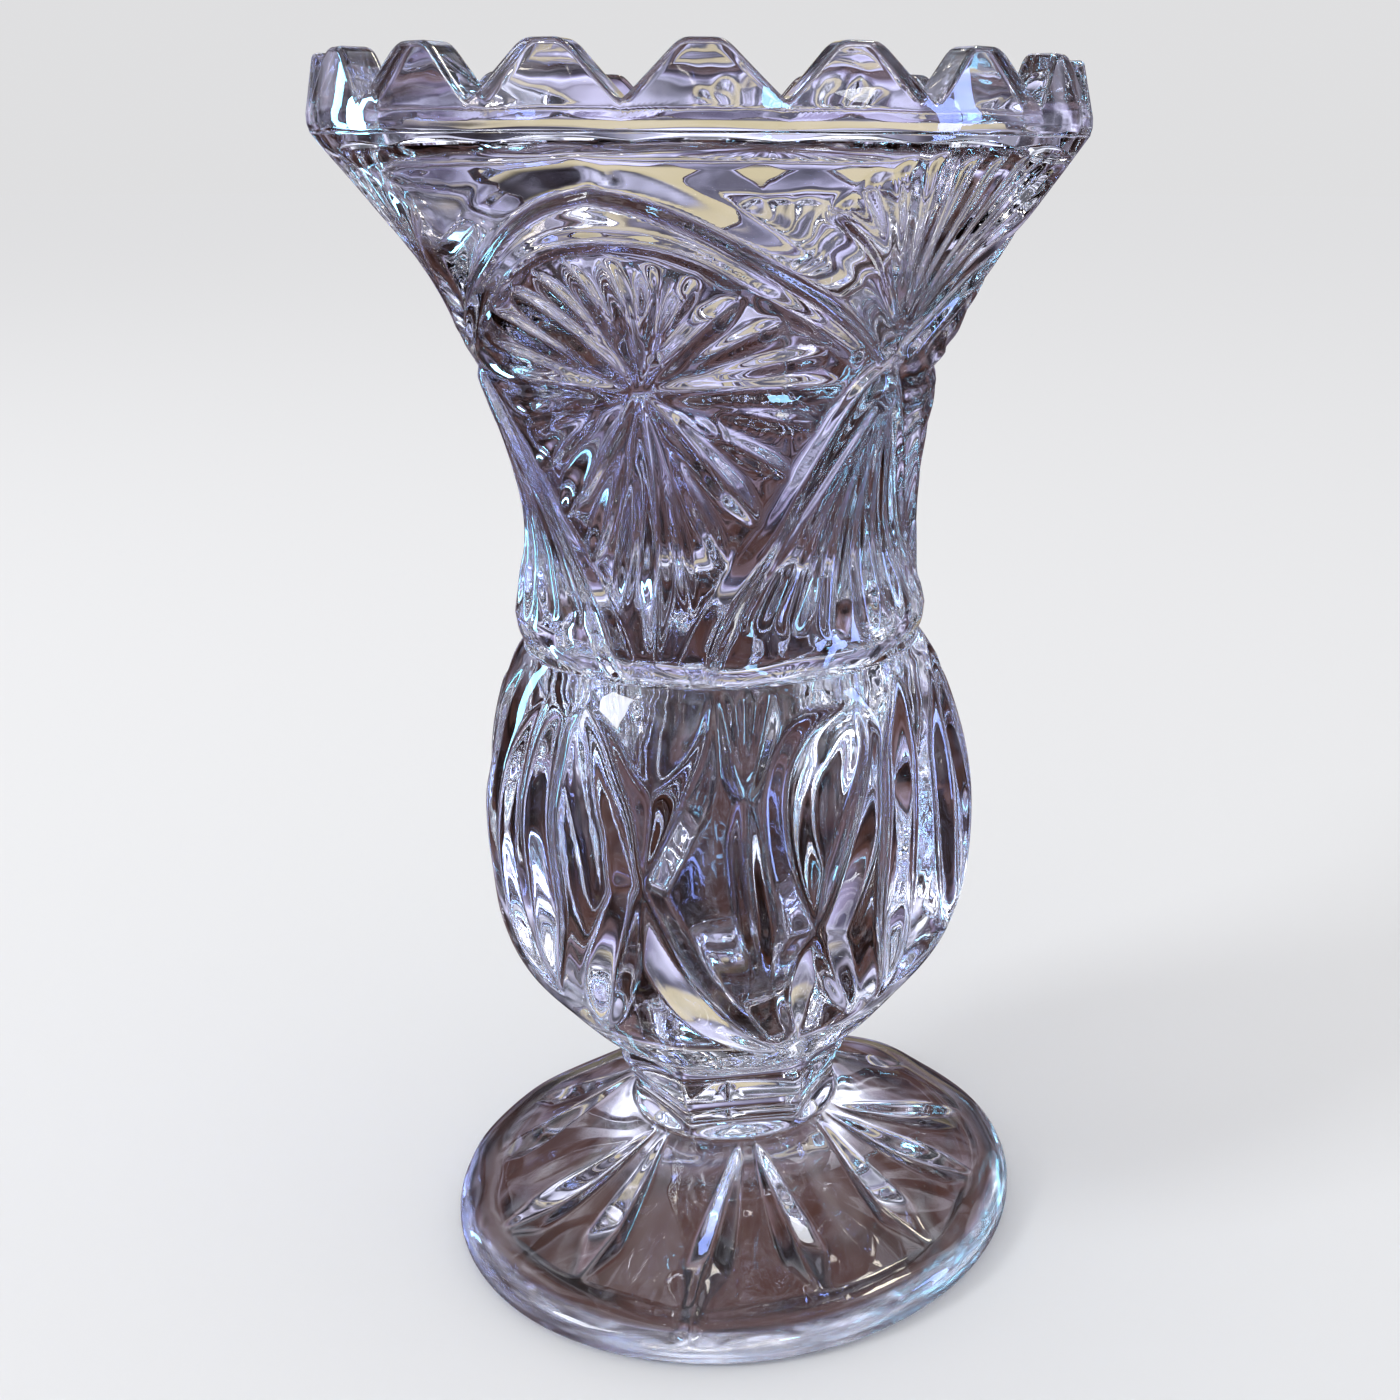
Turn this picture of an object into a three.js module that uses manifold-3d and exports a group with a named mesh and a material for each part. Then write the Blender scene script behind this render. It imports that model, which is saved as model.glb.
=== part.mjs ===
// A footed cut-crystal vase, in millimetres, +Z up, standing on Z = 0 with its axis on Z.
// The glass is one piece. It is modelled as the five sections that its creases mark: the foot, the
// six-sided neck, the bulb, the flared bowl and the sawtooth rim. They meet face to face.
// Azimuth is in degrees, 0 towards -Y and 90 towards +X. The cut pattern repeats every 120 degrees.
import * as THREE from "three";
import { mergeVertices } from "three/addons/utils/BufferGeometryUtils.js";
import Module from "manifold-3d";

const wasm = await Module();
wasm.setup();

// Heights of the creases where one section meets the next.
const HEIGHT = 152;
const RIM_CREASE = 143.6;
const WAIST = 82.5;
const NECK_TOP = 28;
const FOOT_TOP = 16;

// Driving radii.
const RIM_RADIUS = 45.4;
const WAIST_RADIUS = 24.9;
const BULB_RADIUS = 32;
const FOOT_RADIUS = 38.4;

// The pattern sits on a grid of 20 degrees.
const STEP = 20;
const REPEAT = 120;
const SHIELDS = [0, REPEAT, 2 * REPEAT];
const TEETH = 18;
const TOOTH_PHASE = -3;
const LEAVES = 9;
const NECK_SIDES = 6;
const NECK_PHASE = -9;

// Outer outline of each section, as [radius, height].
const FOOT_OUTLINE = [
  [37.2, 0], [38.2, 0.9], [FOOT_RADIUS, 2.4], [37.2, 4.1], [33.8, 5.2], [24, 10], [14, FOOT_TOP],
];
const BULB_OUTLINE = [
  [16.8, NECK_TOP], [22.4, 33], [28.2, 40], [31.2, 47.5], [BULB_RADIUS, 57], [31.3, 66.5],
  [29.2, 75], [25, WAIST],
];
const BOWL_OUTLINE = [
  [WAIST_RADIUS, WAIST], [26.2, 86.5], [25.1, 95], [25.8, 105], [28.3, 116.5],
  [34.6, 129.5], [39.7, 136.4], [45.2, RIM_CREASE],
];
const RIM_OUTLINE = [
  [45.2, RIM_CREASE], [RIM_RADIUS, 145.4], [44.3, HEIGHT - 0.7], [43.4, HEIGHT],
];

// The inside, a smooth tapering hollow with a round bottom, as [radius, height].
const HOLLOW_FLOOR = 37;
const HOLLOW_OUTLINE = [
  [0, HOLLOW_FLOOR], [7, 38], [12, 42], [14.6, 50], [19.2, WAIST], [20.6, 98],
  [23.4, 112], [29.4, 125.5], [38.2, 139], [40.2, RIM_CREASE], [40.4, HEIGHT],
];

// The underside of the foot, domed inside the ring that it stands on.
const BASE_DOME = [[0, 8.2], [6, 7.8], [12, 6.7], [19, 4.7], [26, 2.3], [31, 0.5], [31.9, 0]];

// Mitre cuts are V grooves: half width = depth x MITRE_SPREAD.
const MITRE_SPREAD = 1.35;
const MITRE_CLEARANCE = 2.2;
const TIP_GAP = 0.06;

// The bulb swells under each shield, and the bowl is drawn in there.
const BULB_SWELL = 0.026;
const BOWL_SWELL = -0.02;
const BOWL_SWELL_HEIGHT = 114;
const BOWL_SWELL_REACH = 12;

const ROUND_SEGMENTS = 60;

const crystal = new THREE.MeshStandardMaterial({
  color: 0xe9e8f2, roughness: 0.04, metalness: 0, transparent: true, opacity: 0.4,
});

const radians = (degrees) => THREE.MathUtils.degToRad(degrees);

// Relative change of radius with azimuth and height, three lobes round the vase.
function swell(azimuth, z) {
  const bulb = Math.sin(Math.PI * THREE.MathUtils.clamp((z - NECK_TOP) / (WAIST - NECK_TOP), 0, 1));
  const offset = (z - BOWL_SWELL_HEIGHT) / BOWL_SWELL_REACH;
  const bowl = Math.exp(-offset * offset) * (z > WAIST ? 1 : 0);
  return 1 + (BULB_SWELL * bulb + BOWL_SWELL * bowl) * Math.cos(radians(3 * azimuth));
}

function pointAt(azimuth, radius, z) {
  const r = radius * swell(azimuth, z);
  return new THREE.Vector3(r * Math.sin(radians(azimuth)), -r * Math.cos(radians(azimuth)), z);
}

// A solid of revolution about Z from a closed outline of [radius, height].
function turned(outline, segments = ROUND_SEGMENTS) {
  const points = outline.map(([r, z]) => new THREE.Vector2(r, z));
  const geometry = new THREE.LatheGeometry([...points, points[0].clone()], segments);
  geometry.rotateX(Math.PI / 2);
  const place = geometry.attributes.position;
  for (let i = 0; i < place.count; i++) {
    const [x, y, z] = [place.getX(i), place.getY(i), place.getZ(i)];
    const factor = swell(THREE.MathUtils.radToDeg(Math.atan2(x, -y)), z);
    place.setXY(i, x * factor, y * factor);
  }
  return solid(geometry);
}

function solid(geometry) {
  geometry.deleteAttribute("normal");
  geometry.deleteAttribute("uv");
  const merged = mergeVertices(geometry, 1e-4);
  const made = new wasm.Manifold(
    new wasm.Mesh({
      numProp: 3,
      vertProperties: merged.attributes.position.array,
      triVerts: new Uint32Array(merged.index.array),
    }),
  );
  return made.volume() < 0 ? solid(flipped(merged)) : made;
}

function flipped(geometry) {
  const index = geometry.index.array;
  for (let i = 0; i < index.length; i += 3) [index[i], index[i + 1]] = [index[i + 1], index[i]];
  return geometry;
}

// The outer outline as a surface: a height (or, on the foot, a radius) and an azimuth give a point
// and its outward normal.
function surface(outline, along = 1) {
  const key = (p) => p[along];
  const rising = key(outline.at(-1)) > key(outline[0]);
  const sorted = rising ? outline : [...outline].reverse();
  return (value, azimuth) => {
    let i = 1;
    while (i < sorted.length - 1 && key(sorted[i]) < value) i++;
    const [a, b] = [sorted[i - 1], sorted[i]];
    const share = (value - key(a)) / (key(b) - key(a));
    const radius = a[0] + share * (b[0] - a[0]);
    const z = a[1] + share * (b[1] - a[1]);
    const [run, rise] = [b[0] - a[0], b[1] - a[1]];
    const normal = new THREE.Vector3(Math.sin(radians(azimuth)), -Math.cos(radians(azimuth)), 0);
    normal.multiplyScalar(Math.abs(rise)).setZ(-run * Math.sign(rise));
    return { point: pointAt(azimuth, radius, z), normal: normal.normalize() };
  };
}

// How deep a cut is along its length, 0 at both ends and 1 at its deepest point.
function lens(t, deepest) {
  const reach = t < deepest ? deepest : 1 - deepest;
  const offset = (t - deepest) / reach;
  return 1 - offset * offset;
}

// A V cutter that follows a path over a surface. path(t) gives [value, azimuth] for surface().
function mitre(onSurface, path, depth, { sections = 5, deepest = 0.5, spread = MITRE_SPREAD } = {}) {
  const rings = [];
  for (let i = 0; i <= sections; i++) {
    const t = i / sections;
    const { point, normal } = onSurface(...path(t));
    const ahead = onSurface(...path(Math.min(1, t + 0.01))).point;
    const behind = onSurface(...path(Math.max(0, t - 0.01))).point;
    const across = ahead.sub(behind).cross(normal).normalize();
    const bite = depth * lens(t, deepest) - TIP_GAP;
    const half = (bite + MITRE_CLEARANCE) * spread;
    const top = point.clone().addScaledVector(normal, MITRE_CLEARANCE);
    rings.push([
      point.clone().addScaledVector(normal, -bite),
      top.clone().addScaledVector(across, half),
      top.clone().addScaledVector(across, -half),
    ]);
  }
  return solid(loft(rings));
}

// A closed skin over a row of rings that have the same number of points.
function loft(rings) {
  const size = rings[0].length;
  const positions = rings.flat().flatMap((p) => p.toArray());
  const index = [];
  for (let i = 0; i + 1 < rings.length; i++) {
    for (let j = 0; j < size; j++) {
      const [a, b] = [i * size + j, i * size + ((j + 1) % size)];
      index.push(a, b, a + size, b, b + size, a + size);
    }
  }
  const last = (rings.length - 1) * size;
  for (let j = 1; j + 1 < size; j++) {
    index.push(0, j + 1, j);
    index.push(last, last + j, last + j + 1);
  }
  return new THREE.BufferGeometry()
    .setAttribute("position", new THREE.Float32BufferAttribute(positions, 3))
    .setIndex(index);
}

const straight = (from, to) => (t) => from.map((value, i) => value + t * (to[i] - value));

function cut(body, cutters) {
  return cutters.reduce((left, cutter) => left.subtract(cutter), body);
}

function mesh(name, body) {
  const { vertProperties, triVerts, numProp, numVert } = body.getMesh();
  const positions = new Float32Array(numVert * 3);
  for (let i = 0; i < numVert; i++) {
    positions.set(vertProperties.subarray(i * numProp, i * numProp + 3), i * 3);
  }
  const geometry = new THREE.BufferGeometry()
    .setAttribute("position", new THREE.BufferAttribute(positions, 3))
    .setIndex(new THREE.BufferAttribute(triVerts, 1));
  geometry.computeVertexNormals();
  const made = new THREE.Mesh(geometry, crystal.clone());
  made.material.name = name;
  made.name = name;
  return made;
}

// Part of the hollow's outline between two heights, for a wall that is turned in one go.
function hollowBetween(low, high) {
  const inside = HOLLOW_OUTLINE.filter(([, z]) => z > low && z < high);
  return [hollowAt(low), ...inside, hollowAt(high)];
}

function hollowAt(z) {
  const i = HOLLOW_OUTLINE.findIndex((p) => p[1] >= z);
  const [a, b] = [HOLLOW_OUTLINE[Math.max(0, i - 1)], HOLLOW_OUTLINE[i]];
  const share = a === b ? 0 : (z - a[1]) / (b[1] - a[1]);
  return [a[0] + share * (b[0] - a[0]), z];
}

const wall = (outline, low, high) => turned([...outline, ...hollowBetween(low, high).reverse()]);

// Foot: a shallow cone on a ground ring, with thirteen mitres that leave the neck in groups.
const RAY_TIP_RADIUS = 33;
const RAY_START_RADIUS = 14.6;
const RAY_DEPTH = 1.5;
const RAY_GROUPS = [
  { root: 23, tips: [8, 35] }, { root: 66, tips: [63, 91, 118] }, { root: 150, tips: [146, 173] },
  { root: 206, tips: [202, 229] }, { root: 264, tips: [258, 285] }, { root: 338, tips: [314, 340] },
];

function foot() {
  const top = surface(FOOT_OUTLINE.slice(4), 0);
  const body = turned([...BASE_DOME, ...FOOT_OUTLINE, [0, FOOT_TOP]]);
  const rays = [];
  for (const { root, tips } of RAY_GROUPS) {
    for (const tip of tips) {
      const start = root + (tip - root) / 3;
      const path = straight([RAY_START_RADIUS, start], [RAY_TIP_RADIUS, tip]);
      rays.push(mitre(top, path, RAY_DEPTH, { deepest: 0.8, spread: 1.2 }));
    }
  }
  return mesh("foot", cut(body, rays));
}

// Neck: six flat sides that draw in to a waistline and spread again to the foot.
const NECK_RINGS = [
  [14, FOOT_TOP], [15.3, 21.6], [15.3, 22.6], [16.3, 25.4], [16.8, NECK_TOP],
];

function neck() {
  const corners = Array.from({ length: NECK_SIDES }, (_, i) => NECK_PHASE + (i * 360) / NECK_SIDES);
  const rings = NECK_RINGS.map(([radius, z]) => corners.map((azimuth) => pointAt(azimuth, radius, z)));
  return mesh("neck", solid(loft(rings)));
}

// Bulb: nine pointed leaves, each between two curved mitres that cross its neighbours' at half height.
const LEAF_LOW = 42.5;
const LEAF_HIGH = 79;
const LEAF_HALF_WIDTH = 21;
const LEAF_DEPTH = 1.3;
const SPANDREL_DEPTH = 1;
const SPANDREL_ABOVE = [64, 80.5];
const SPANDREL_BELOW = [56, 38];

function bulb() {
  const side = surface(BULB_OUTLINE);
  const hollow = hollowBetween(HOLLOW_FLOOR, WAIST).reverse();
  const body = turned([[0, NECK_TOP], ...BULB_OUTLINE, ...hollow]);
  const cuts = [];
  for (let leaf = 0; leaf < LEAVES; leaf++) {
    const middle = STEP + leaf * 2 * STEP;
    for (const way of [-1, 1]) {
      const path = (t) => [
        LEAF_LOW + t * (LEAF_HIGH - LEAF_LOW),
        middle + way * LEAF_HALF_WIDTH * Math.sin(Math.PI * t),
      ];
      cuts.push(mitre(side, path, LEAF_DEPTH, { sections: 6, spread: 1.2 }));
    }
    for (const [from, to] of [SPANDREL_ABOVE, SPANDREL_BELOW]) {
      const path = straight([from, middle + STEP], [to, middle + STEP]);
      cuts.push(mitre(side, path, SPANDREL_DEPTH, { sections: 3 }));
    }
  }
  return mesh("bulb", cut(body, cuts));
}

// Bowl: three shields, each an arch over a long V with an eight-ray star, and fans between them.
const CROSSING_HEIGHT = 118.3;
const ARCH_TOP = 140.6;
const SHIELD_FOOT = 84.5;
const SHIELD_FOOT_AZIMUTH = 11;
const STAR_HEIGHT = 116.6;
const OUTLINE_DEPTH = 1.25;
const STAR_RAY_DEPTH = 1.3;
const PETAL_DEPTH = 0.9;
const PETAL_REACH = [3.5, 14.5];
const FAN_CLEARANCE = 5;
const FAN_CLOSING = 0.12;
const FAN_TOP = 140;
const FAN_FOOT = 87.5;

// From the foot of one shield, up past the crossing and over the next shield's arch to its top.
function outlinePath(shield, way) {
  const half = REPEAT / 2;
  return (t) => {
    if (t < 0.5) {
      const share = 2 * t;
      const azimuth = SHIELD_FOOT_AZIMUTH + share * (half - SHIELD_FOOT_AZIMUTH);
      return [SHIELD_FOOT + share * (CROSSING_HEIGHT - SHIELD_FOOT), shield + way * azimuth];
    }
    const share = 2 * t - 1;
    const lift = (ARCH_TOP - CROSSING_HEIGHT) * Math.sin((Math.PI / 2) * share);
    return [CROSSING_HEIGHT + lift, shield + way * (half + share * half)];
  };
}

// Azimuth and height of a point at a distance and angle from a centre, measured over the glass.
function away(side, height, azimuth, distance, angle) {
  const z = height + distance * Math.sin(radians(angle)) * 0.9;
  const radius = side(Math.min(z, ARCH_TOP), azimuth).point.setZ(0).length();
  const turn = THREE.MathUtils.radToDeg((distance * Math.cos(radians(angle))) / radius);
  return [z, azimuth + turn];
}

const STAR_RAYS = [
  { angle: 0, reach: 21 }, { angle: 45, reach: 16 }, { angle: 90, reach: 16 },
  { angle: 135, reach: 16 }, { angle: 180, reach: 21 }, { angle: 231, reach: 17 },
  { angle: 270, reach: 32 }, { angle: 309, reach: 17 },
];
const STAR_PETALS = [22, 67, 113, 158, 203, 337];
const FAN_ENDS_UP = [-20, -12, -4, 4, 12, 20];
const FAN_ENDS_DOWN = [-36, -24, -12, 0, 12, 24, 36];

function bowlCuts(side) {
  const cuts = [];
  for (const shield of SHIELDS) {
    for (const way of [-1, 1]) {
      const band = { sections: 12, deepest: 0.72, spread: 1.5 };
      cuts.push(mitre(side, outlinePath(shield, way), OUTLINE_DEPTH, band));
    }
    for (const { angle, reach } of STAR_RAYS) {
      const path = straight([STAR_HEIGHT, shield], away(side, STAR_HEIGHT, shield, reach, angle));
      cuts.push(mitre(side, path, STAR_RAY_DEPTH, { sections: 4, deepest: 0.45 }));
    }
    const petal = { sections: 3, deepest: 0.6 };
    for (const angle of STAR_PETALS) {
      const [from, to] = PETAL_REACH.map((distance) => away(side, STAR_HEIGHT, shield, distance, angle));
      cuts.push(mitre(side, straight(from, to), PETAL_DEPTH, petal));
    }
    const gap = shield + REPEAT / 2;
    for (const [ends, start, finish] of [
      [FAN_ENDS_UP, CROSSING_HEIGHT + FAN_CLEARANCE, FAN_TOP],
      [FAN_ENDS_DOWN, CROSSING_HEIGHT - FAN_CLEARANCE, FAN_FOOT],
    ]) {
      for (const end of ends) {
        const path = straight([start, gap + end * FAN_CLOSING], [finish, gap + end]);
        cuts.push(mitre(side, path, PETAL_DEPTH, petal));
      }
    }
  }
  return cuts;
}

// Nine flat facets bevel the bowl's lower edge.
const FACET_DEPTH = 1.5;
const FACET_TILT = 58;
const FACET_CUTTER = [26, 10, 10];

function waistFacets() {
  const facets = [];
  for (let i = 0; i < LEAVES; i++) {
    const block = new THREE.BoxGeometry(...FACET_CUTTER);
    const place = new THREE.Matrix4()
      .makeRotationZ(radians(i * 2 * STEP))
      .multiply(new THREE.Matrix4().makeTranslation(0, -WAIST_RADIUS + FACET_DEPTH, WAIST))
      .multiply(new THREE.Matrix4().makeRotationX(radians(-FACET_TILT)))
      .multiply(new THREE.Matrix4().makeTranslation(0, 0, -FACET_CUTTER[2] / 2));
    facets.push(solid(block.applyMatrix4(place)));
  }
  return facets;
}

function bowl() {
  const side = surface(BOWL_OUTLINE);
  const body = wall(BOWL_OUTLINE, WAIST, RIM_CREASE);
  return mesh("bowl", cut(body, [...bowlCuts(side), ...waistFacets()]));
}

// Rim: a band with eighteen teeth between V notches. The cutters run past the teeth and the axis.
const NOTCH_FLOOR = 146.3;
const TOOTH_TOP_WIDTH = 3.4;
const RIM_MEAN_RADIUS = 42.7;
const NOTCH_OVERRUN = 1.4;
const NOTCH_REACH = 60;

function rim() {
  const body = wall(RIM_OUTLINE, RIM_CREASE, HEIGHT);
  const pitch = 360 / TEETH;
  const half = NOTCH_OVERRUN * (RIM_MEAN_RADIUS * Math.sin(radians(pitch / 2)) - TOOTH_TOP_WIDTH / 2);
  const top = NOTCH_FLOOR + NOTCH_OVERRUN * (HEIGHT - NOTCH_FLOOR);
  const profile = new THREE.Shape([
    new THREE.Vector2(0, NOTCH_FLOOR),
    new THREE.Vector2(half, top),
    new THREE.Vector2(-half, top),
  ]);
  const notches = [];
  for (let i = 0; i < TEETH; i++) {
    const wedge = new THREE.ExtrudeGeometry(profile, { depth: NOTCH_REACH, bevelEnabled: false });
    wedge.rotateX(Math.PI / 2).rotateZ(radians(TOOTH_PHASE + (i + 0.5) * pitch));
    notches.push(solid(wedge));
  }
  return mesh("rim", cut(body, notches));
}

const vase = new THREE.Group();
vase.add(foot(), neck(), bulb(), bowl(), rim());

export default vase;
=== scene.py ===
import math

import bpy
import numpy as np
from mathutils import Matrix, Vector


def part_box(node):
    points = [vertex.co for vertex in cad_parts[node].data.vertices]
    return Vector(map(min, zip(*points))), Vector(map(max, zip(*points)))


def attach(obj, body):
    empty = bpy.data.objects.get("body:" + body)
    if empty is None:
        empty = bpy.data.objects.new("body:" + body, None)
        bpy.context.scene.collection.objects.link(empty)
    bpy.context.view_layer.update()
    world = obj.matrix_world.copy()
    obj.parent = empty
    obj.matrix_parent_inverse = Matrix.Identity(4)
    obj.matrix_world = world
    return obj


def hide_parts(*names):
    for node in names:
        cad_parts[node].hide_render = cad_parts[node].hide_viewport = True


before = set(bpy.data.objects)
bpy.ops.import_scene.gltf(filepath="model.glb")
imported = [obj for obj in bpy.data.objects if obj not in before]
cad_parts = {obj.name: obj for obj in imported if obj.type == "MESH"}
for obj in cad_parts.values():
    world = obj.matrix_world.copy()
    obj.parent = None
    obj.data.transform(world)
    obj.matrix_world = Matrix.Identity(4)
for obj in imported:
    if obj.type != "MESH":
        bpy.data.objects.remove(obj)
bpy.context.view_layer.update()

# A footed cut-crystal vase. Lengths are in millimetres until a mesh is made, and azimuths in degrees,
# 0 towards -Y and 90 towards +X. The frame gives the heights of the creases and the overall size.
MM = 0.001
FOOT_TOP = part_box("foot")[1].z / MM
NECK_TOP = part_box("neck")[1].z / MM
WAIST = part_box("bulb")[1].z / MM
RIM_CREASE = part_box("bowl")[1].z / MM
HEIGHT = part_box("rim")[1].z / MM
INSET = 0.05  # how far the visual glass keeps inside the CAD's widest points
RIM_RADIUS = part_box("rim")[1].x / MM - INSET
FOOT_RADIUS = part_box("foot")[1].x / MM - INSET

# Columns round the vase, and the spacing of its rows outside, in the hollow and on other parts.
COLUMNS = 558
ROW = 0.45
INSIDE_ROW = 3
NECK_ROW = 0.3
EDGE_ROW = 0.5
DOME_ROW = 0.8
SOFT_PASSES = 2  # how often the cuts' edges are rounded
AZIMUTHS = np.arange(COLUMNS) * 360 / COLUMNS - 180

# The cuts of bulb and bowl repeat round the vase, so they are made over one third and copied.
REPEAT = 120
THIRD = AZIMUTHS[(AZIMUTHS >= -REPEAT / 2) & (AZIMUTHS < REPEAT / 2)]


# ---------------------------------------------------------------- curves

def spline(points, spacing):
    """Points at about that spacing along a smooth curve through a few [x, y] points."""
    given = np.array(points, float)
    padded = np.vstack([2 * given[0] - given[1], given, 2 * given[-1] - given[-2]])
    fine = []
    for p0, p1, p2, p3 in zip(padded, padded[1:], padded[2:], padded[3:]):
        t = np.linspace(0, 1, 24, endpoint=False)[:, None]
        curve = 2 * p1 + (p2 - p0) * t + (2 * p0 - 5 * p1 + 4 * p2 - p3) * t**2
        fine.append((curve + (3 * p1 - p0 - 3 * p2 + p3) * t**3) / 2)
    fine = np.vstack([*fine, given[-1:]])
    return resample(fine, spacing)


def resample(line, spacing):
    """The same line with evenly spaced points."""
    along = np.concatenate([[0], np.cumsum(np.linalg.norm(np.diff(line, axis=0), axis=1))])
    count = max(2, round(along[-1] / spacing) + 1)
    even = np.linspace(0, along[-1], count)
    return np.column_stack([np.interp(even, along, line[:, i]) for i in range(line.shape[1])])


def smoothstep(x, low, high):
    """0 below low and 1 above high, with a smooth change between."""
    t = np.clip((x - low) / (high - low), 0, 1)
    return t * t * (3 - 2 * t)


def soft_min(a, b, radius):
    """The smaller of two, with their meeting rounded over about that radius."""
    h = np.clip(0.5 + 0.5 * (b - a) / radius, 0, 1)
    return b + (a - b) * h - radius * h * (1 - h)


# ---------------------------------------------------------------- outline

# Outer outline, [radius, height], smooth between creases.
FOOT_EDGE = [[37.2, 0], [38.1, 0.8], [FOOT_RADIUS, 2.3], [37.9, 3.6], [36.2, 4.7], [33.6, 5.3]]
FOOT_SLOPE = [[33.6, 5.3], [28, 8], [21, 12], [16.4, 14.9], [14, FOOT_TOP]]
NECK_LOW = [[14, FOOT_TOP], [13.9, 17.6], [14.4, 19.6], [15.6, 21.7]]
NECK_BAND = [[15.6, 21.7], [15.9, 25.4]]
NECK_HIGH = [[15.9, 25.4], [16.2, 26.6], [16.8, NECK_TOP]]
BULB = [
    [16.8, NECK_TOP], [19.6, 30], [24.4, 35.4], [28.8, 41], [31, 46.6], [31.9, 53], [32, 60],
    [31.3, 66], [30, 71.6], [28.3, 77], [26.4, 80.6], [25, WAIST],
]
BEVEL = [[24.9, WAIST], [25.7, 84.4], [26, 86.4]]
BOWL = [
    [26, 86.4], [25.3, 91], [25, 98], [25.6, 104], [26.6, 109.6], [28.2, 116], [30.8, 122.4],
    [34.4, 129], [39.4, 135.9], [42.6, 140.2], [45.1, RIM_CREASE],
]
HOLLOW = [
    [40.2, RIM_CREASE], [37.9, 138.6], [33.6, 132], [29, 125], [25.4, 117.6], [22.9, 110],
    [21.2, 102], [20, 92], [19.2, WAIST], [17.4, 70], [15.6, 57], [14.2, 48.5], [12, 42.6],
    [8.4, 38.8], [4, 37.3], [0.4, 37],
]
DOME = [[0.4, 8.2], [6, 7.8], [12, 6.7], [19, 4.7], [26, 2.3], [31, 0.5], [31.9, 0.05], [32.4, 0]]


def swell(azimuth, z):
    """Relative change of radius, three soft lobes round the vase, out in the bulb, in on the bowl."""
    bulb = np.sin(np.pi * np.clip((z - NECK_TOP) / (WAIST - NECK_TOP), 0, 1))
    bowl = np.exp(-(((z - 114) / 12) ** 2)) * (z > WAIST)
    return 1 + (0.026 * bulb - 0.02 * bowl) * np.cos(np.radians(3 * azimuth))


# ---------------------------------------------------------------- cuts

class Surface:
    """A patch of the outer surface, rows along an outline by columns in azimuth, that takes cuts."""

    def __init__(self, outline, azimuths):
        self.outline = outline
        self.along = np.concatenate(
            [[0], np.cumsum(np.linalg.norm(np.diff(outline, axis=0), axis=1))]
        )
        self.azimuths = azimuths
        self.depth = np.zeros((len(outline), len(azimuths)))

    def place(self, height):
        """Distance along the outline to a height."""
        return np.interp(height, self.outline[:, 1], self.along)

    def cut(self, path, depth, half_width, shape="mitre", tilt=0.0, clean=False):
        """Cuts a groove along a path of [azimuth, height]. Depth and half width are numbers or lists
        of numbers spread along the path. A mitre is a V and a flute is rounded. tilt above 0 makes
        the flank on the left the wider one. A clean groove takes the place of the cuts it meets."""
        line = spline(path, 2)
        share = np.linspace(0, 1, len(line))
        depths = np.interp(share, np.linspace(0, 1, np.size(depth)), np.ravel(depth))
        halves = np.interp(share, np.linspace(0, 1, np.size(half_width)), np.ravel(half_width))
        reach = halves.max() * (1 + abs(tilt)) + 0.5
        v = self.place(line[:, 1])
        rows = np.where((self.along > v.min() - reach) & (self.along < v.max() + reach))[0]
        if not len(rows):
            return
        radius = self.outline[rows, 0][:, None]
        spread = math.degrees(reach / radius.min())
        low, high = line[:, 0].min() - spread, line[:, 0].max() + spread
        columns = np.where((self.azimuths > low) & (self.azimuths < high))[0]
        if not len(columns):
            return
        arc = np.radians(self.azimuths[columns])[None, :]
        s = self.along[rows][:, None]
        best = np.full((len(rows), len(columns)), np.inf)
        bite = np.zeros_like(best)
        for i in range(len(line) - 1):
            du = radius * np.radians(line[i + 1, 0] - line[i, 0])
            dv = v[i + 1] - v[i]
            pu = radius * (arc - np.radians(line[i, 0]))
            pv = s - v[i]
            length2 = du * du + dv * dv + 1e-9
            t = np.clip((pu * du + pv * dv) / length2, 0, 1)
            gap = np.hypot(pu - t * du, pv - t * dv)
            side = np.sign(du * pv - dv * pu)
            half = halves[i] + t * (halves[i + 1] - halves[i])
            deep = depths[i] + t * (depths[i + 1] - depths[i])
            half = half * (1 + tilt * side)
            ratio = gap / np.maximum(half, 1e-6)
            if shape == "mitre":
                value = deep * (1 - ratio)
            else:
                value = deep * (1 - ratio**2)
            nearer = gap < best
            best = np.where(nearer, gap, best)
            bite = np.where(nearer, value, bite)
        patch = np.ix_(rows, columns)
        before = self.depth[patch]
        if clean:
            self.depth[patch] = np.where(bite > 0, bite, before)
        else:
            self.depth[patch] = np.maximum(before, bite)

    def soften(self):
        """Rounds every edge a little, as fire polishing does."""
        field = self.depth
        for _ in range(SOFT_PASSES):
            up = np.vstack([field[:1], field[:-1]])
            down = np.vstack([field[1:], field[-1:]])
            field = (up + 2 * field + down) / 4
            field = (np.roll(field, 1, axis=1) + 2 * field + np.roll(field, -1, axis=1)) / 4
        self.depth = field


def around(surface, mirrored, path, depth, half_width, shape="mitre", tilt=0.0, clean=False):
    """The same cut in this third of the vase and the two beside it, and its mirror image if asked."""
    for turn in (-REPEAT, 0, REPEAT):
        moved = [[a + turn, z] for a, z in path]
        surface.cut(moved, depth, half_width, shape, tilt, clean)
        if mirrored:
            surface.cut([[turn - a, z] for a, z in path], depth, half_width, shape, -tilt, clean)


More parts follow.
